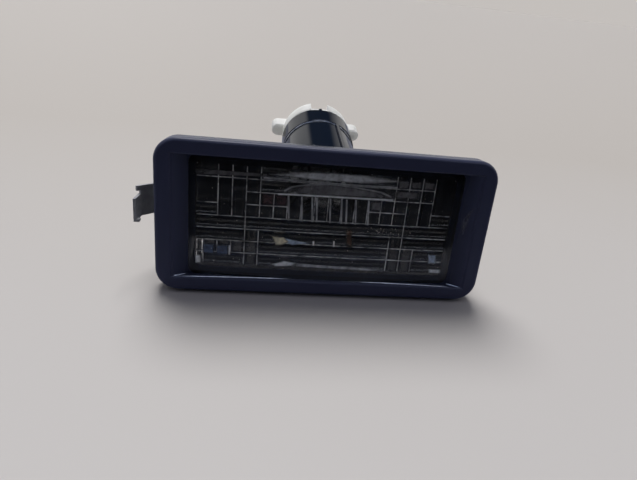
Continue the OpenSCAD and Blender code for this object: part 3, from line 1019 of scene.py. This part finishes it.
@dataclass
class LensDust:
    """Specks of dust on the lens's curved front, thicker in a cluster right of the middle."""

    loose: int = 70
    clustered: int = 45
    cluster: Span = (11.0, -1.0)
    cluster_sigma: Span = (2.5, 0.6)
    half_w: float = 25.5
    half_h: float = 10.8
    front: float = -3.2
    front_r: float = 302.1
    lift: float = 0.01
    sizes: Span = (0.03, 0.08)
    sides: int = 6
    jitter: float = 0.3
    seed: int = 7
    finish: MouldedPlastic = MouldedPlastic("lens_dust", (0.62, 0.6, 0.58), (0.7, 0.68, 0.65), 0.8, 0.95,
                                            dust=0.3)

    def build(self) -> Piece:
        """Scatter the specks.

        Returns:
            The specks, as one object.
        """
        chance = random.Random(self.seed)
        places = [(chance.uniform(-self.half_w, self.half_w), chance.uniform(-self.half_h, self.half_h))
                  for _ in range(self.loose)]
        normal = tuple(zip(self.cluster, self.cluster_sigma))
        places += [tuple(chance.gauss(middle, sigma) for middle, sigma in normal)
                   for _ in range(self.clustered)]
        mesh = bmesh.new()
        for x, z in places:
            y = self.front + self.front_r - math.sqrt(self.front_r ** 2 - x ** 2) - self.lift
            radius = chance.uniform(*self.sizes)
            turns = [2 * math.pi * (k + chance.uniform(-self.jitter, self.jitter)) / self.sides
                     for k in range(self.sides)]
            rim = [Vector((x + radius * math.cos(a), y, z + radius * math.sin(a))) * MM for a in turns]
            mesh.faces.new([mesh.verts.new(point) for point in rim])
        piece = finish_mesh(mesh, "lens_dust", self.finish.build(), Shading.FLAT)
        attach(piece, "root")
        LOG.info("lens_dust has %d specks", len(places))
        return piece


@dataclass
class Studio:
    """The camera, the floor, the world, the lights and a dark card that paints shade."""

    camera_place: Point = (-13.65, -89.10, 26.89)
    camera_right: Point = (0.98990, -0.10641, 0.09364)
    camera_up: Point = (-0.05278, 0.33640, 0.94024)
    camera_forward: Point = (0.13155, 0.93569, -0.32739)
    sensor_mm: float = 36.0
    focal_px: float = 462.0
    frame_px: float = 637.0
    clip_start: float = 5 * MM
    floor_touch: Point = (0.0, 0.0, -14.95)
    floor_slope: float = 9.6
    floor_size: float = 40.0
    floor_roughness: float = 0.7
    grain_scale: float = 900.0
    floor_patch_scale: float = 6.0
    # the dark card puts painted shade into reflections and bounced light
    card_near: float = -0.046
    card_far: float = -0.30
    card_half_width: float = 0.5
    card_height: float = 0.22
    card_lift: float = 2 * MM
    card_colours: tuple[Colour, Colour] = ((0.012, 0.013, 0.018), (0.02, 0.021, 0.028))
    card_patch_scale: float = 20.0
    card_roughness: float = 0.8
    sun_towards: Point = (-0.10, 0.34, 0.94)
    front_light: Colour = (0.135, 0.140, 0.180)
    back_light: Colour = (0.19, 0.19, 0.195)
    sun_strength: float = 2.6
    sun_angle: float = 32.0
    sun_colour: Colour = (1.0, 0.99, 0.975)
    softbox_place: Point = (0.15, -0.38, 1.08)
    softbox_size: float = 0.5
    softbox_watts: float = 0.4
    softbox_colour: Colour = (1.0, 0.98, 0.95)
    # painted light: the floor is lighter in front of the lamp and darker and warmer behind it
    floor_near: Colour = (0.62, 0.60, 0.595)
    floor_far: Colour = (0.535, 0.50, 0.465)
    floor_near_y: float = -0.05
    floor_far_y: float = 0.12
    floor_drift: float = 0.02
    # painted shade: the floor's darker, bluer colour in glossy reflections
    floor_mirrored: Colour = (0.22, 0.23, 0.30)
    horizon_colour: Colour = (0.552, 0.522, 0.50)
    left_wall: Colour = (0.92, 0.91, 0.90)
    right_wall: Colour = (0.77, 0.76, 0.75)
    front_colour: Colour = (0.08, 0.09, 0.14)
    front_window: Colour = (1.30, 1.34, 1.50)
    zenith_colour: Colour = (0.31, 0.37, 0.49)
    ceiling_colour: Colour = (0.03, 0.04, 0.07)
    behind_y: Span = (-0.1, 0.25)
    window_z: Span = (0.25, 0.40)
    side_x: Span = (-0.05, 0.05)
    dark_left_x: Span = (-0.25, -0.17)
    dark_right_x: Span = (0.42, 0.26)
    dark_z: Span = (0.30, 0.38)
    ceiling_z: Span = (0.74, 0.80)
    zenith_z: Span = (0.82, 0.85)

    def build(self) -> None:
        """Set up the camera, the floor, the world, the lights and the card."""
        self._camera()
        self._floor()
        self._world()
        self._sun()
        self._softbox()
        self._card()

    def _camera(self) -> None:
        """Place the camera where the photograph was taken from."""
        data = bpy.data.cameras.new("camera")
        data.lens = self.focal_px / self.frame_px * self.sensor_mm
        data.sensor_width = self.sensor_mm
        data.clip_start = self.clip_start
        camera = bpy.data.objects.new("camera", data)
        columns = (Vector(self.camera_right), Vector(self.camera_up), -Vector(self.camera_forward))
        turn = Matrix(columns).transposed().to_4x4()
        camera.matrix_world = Matrix.Translation(Vector(self.camera_place) * MM) @ turn
        bpy.context.scene.collection.objects.link(camera)
        bpy.context.scene.camera = camera

    def _floor(self) -> None:
        """Lay the wide floor that the lamp rests on."""
        mesh = bmesh.new()
        bmesh.ops.create_grid(mesh, x_segments=2, y_segments=2, size=self.floor_size / 2)
        material, graph, shader = new_material("studio_floor")
        grain = EFFECTS.place(graph, Effect.GRAIN, scale=self.grain_scale, drift_scale=self.floor_patch_scale)
        drift = graph.math("MULTIPLY", grain.outputs["Drift"], self.floor_drift)
        place = graph.math("ADD", graph.axis(graph.object_place(), "Y"), drift)
        # painted light: lighter in front of the lamp, darker and warmer behind it
        depth = graph.spread(place, (self.floor_near_y, self.floor_far_y))
        shade = graph.mix(depth, rgba(self.floor_near), rgba(self.floor_far))
        rays = graph.add("LightPath").outputs
        # painted shade: the floor turns darker and bluer in glossy reflections
        mirrored = graph.math("SUBTRACT", rays["Is Glossy Ray"], rays["Is Transmission Ray"], clamp=True)
        graph.feed(shader, {"Base Color": graph.mix(mirrored, shade, rgba(self.floor_mirrored))})
        shader.inputs["Roughness"].default_value = self.floor_roughness
        floor = finish_mesh(mesh, "studio_floor", material, Shading.FLAT)
        slope = Matrix.Rotation(math.radians(self.floor_slope), 4, "X")
        floor.matrix_world = Matrix.Translation(Vector(self.floor_touch) * MM) @ slope

    def _world(self) -> None:
        """Light the scene softly, with one room for reflections and one plain colour for the background."""
        world = bpy.data.worlds.new("studio")
        bpy.context.scene.world = world
        world.use_nodes = True
        world.node_tree.nodes.clear()
        graph = Graph(world.node_tree)
        way = graph.add("SeparateXYZ", {0: graph.add("TexCoord").outputs["Generated"]}).outputs
        behind = graph.spread(way["Y"], self.behind_y)
        tint = graph.mix(behind, rgba(self.front_light), rgba(self.back_light))
        light = graph.add("Background", {"Color": tint}).outputs[0]
        rays = graph.add("LightPath").outputs
        sky = graph.mix(rays["Is Camera Ray"], self._room(graph, way, behind), rgba(self.horizon_colour))
        seen = graph.add("Background", {"Color": sky}).outputs[0]
        straight = graph.math("MAXIMUM", rays["Is Camera Ray"], rays["Is Glossy Ray"])
        straight = graph.math("MAXIMUM", straight, rays["Is Transmission Ray"])
        both = graph.add("MixShader", {0: straight, 1: light, 2: seen})
        graph.add("OutputWorld", {"Surface": both.outputs[0]})

    def _room(self, graph: Graph, way: Outputs, behind: Socket) -> Socket:
        """Paint the room that reflections and refractions show.

        Args:
            graph: The world's graph.
            way: The X, Y and Z of the direction that is looked in.
            behind: How far that direction points behind the lamp, from 0 to 1.

        Returns:
            The room's colour.
        """
        window = graph.spread(way["Z"], self.window_z)
        front = graph.mix(window, rgba(self.front_colour), rgba(self.front_window))
        sides = graph.mix(graph.spread(way["X"], self.side_x), rgba(self.left_wall), rgba(self.right_wall))
        walls = graph.mix(behind, front, sides)
        between = graph.math("MULTIPLY", graph.spread(way["X"], self.dark_left_x),
                             graph.spread(way["X"], self.dark_right_x))
        high = graph.math("MULTIPLY", between, graph.spread(way["Z"], self.dark_z))
        high = graph.math("MULTIPLY", high, behind)
        dark = graph.math("MAXIMUM", high, graph.spread(way["Z"], self.ceiling_z))
        zenith = graph.spread(way["Z"], self.zenith_z)
        above = graph.mix(zenith, rgba(self.ceiling_colour), rgba(self.zenith_colour))
        return graph.mix(dark, walls, above)

    def _sun(self) -> None:
        """Hang one wide and distant soft light above the lamp and a little behind it."""
        data = bpy.data.lights.new("overhead_light", "SUN")
        data.energy = self.sun_strength
        data.angle = math.radians(self.sun_angle)
        data.color = self.sun_colour
        light = bpy.data.objects.new("overhead_light", data)
        light.matrix_world = Vector(self.sun_towards).to_track_quat("Z", "Y").to_matrix().to_4x4()
        bpy.context.scene.collection.objects.link(light)

    def _softbox(self) -> None:
        """Hang a weak soft light high up in front of the lamp."""
        data = bpy.data.lights.new("front_softbox", "AREA")
        data.size = self.softbox_size
        data.energy = self.softbox_watts
        data.color = self.softbox_colour
        light = bpy.data.objects.new("front_softbox", data)
        place = Vector(self.softbox_place)
        light.matrix_world = Matrix.Translation(place) @ place.to_track_quat("Z", "Y").to_matrix().to_4x4()
        bpy.context.scene.collection.objects.link(light)

    def _card(self) -> None:
        """Stand a dark card under and behind the camera, which only reflections and bounced light see, as
        painted shade where a camera and its holder would stand.
        """
        mesh = bmesh.new()
        slope = math.tan(math.radians(self.floor_slope))
        low = self.floor_touch[2] * MM + self.card_lift
        profile = [(y, low + slope * y) for y in (self.card_near, self.card_far)]
        profile.append((self.card_far, self.card_height))
        stitch(mesh, [[mesh.verts.new((x, y, z)) for x in (-self.card_half_width, self.card_half_width)]
                      for y, z in profile])
        material, graph, shader = new_material("dark_card")
        grain = EFFECTS.place(graph, Effect.GRAIN, scale=self.grain_scale, drift_scale=self.card_patch_scale)
        darker, lighter = self.card_colours
        graph.feed(shader, {"Base Color": graph.mix(grain.outputs["Drift"], rgba(darker), rgba(lighter))})
        shader.inputs["Roughness"].default_value = self.card_roughness
        rays = graph.add("LightPath").outputs
        unseen = graph.math("MAXIMUM", rays["Is Camera Ray"], rays["Is Shadow Ray"])
        clear = graph.add("BsdfTransparent").outputs[0]
        both = graph.add("MixShader", {0: unseen, 1: shader.outputs["BSDF"], 2: clear})
        graph.feed(material.node_tree.nodes["Material Output"], {"Surface": both.outputs[0]})
        finish_mesh(mesh, "dark_card", material, Shading.FLAT)


def main() -> None:
    """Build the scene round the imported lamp."""
    logging.basicConfig(level=logging.INFO, format="%(name)s: %(message)s")
    scene = bpy.context.scene
    scene.view_settings.view_transform = "Standard"
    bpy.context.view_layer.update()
    Studio().build()
    Lamp().dress()
    Filament().build()
    PrismValleys().build()
    LensGlints().build()
    RecessMarks().build()
    LensDust().build()


if __name__ == "__main__":
    main()
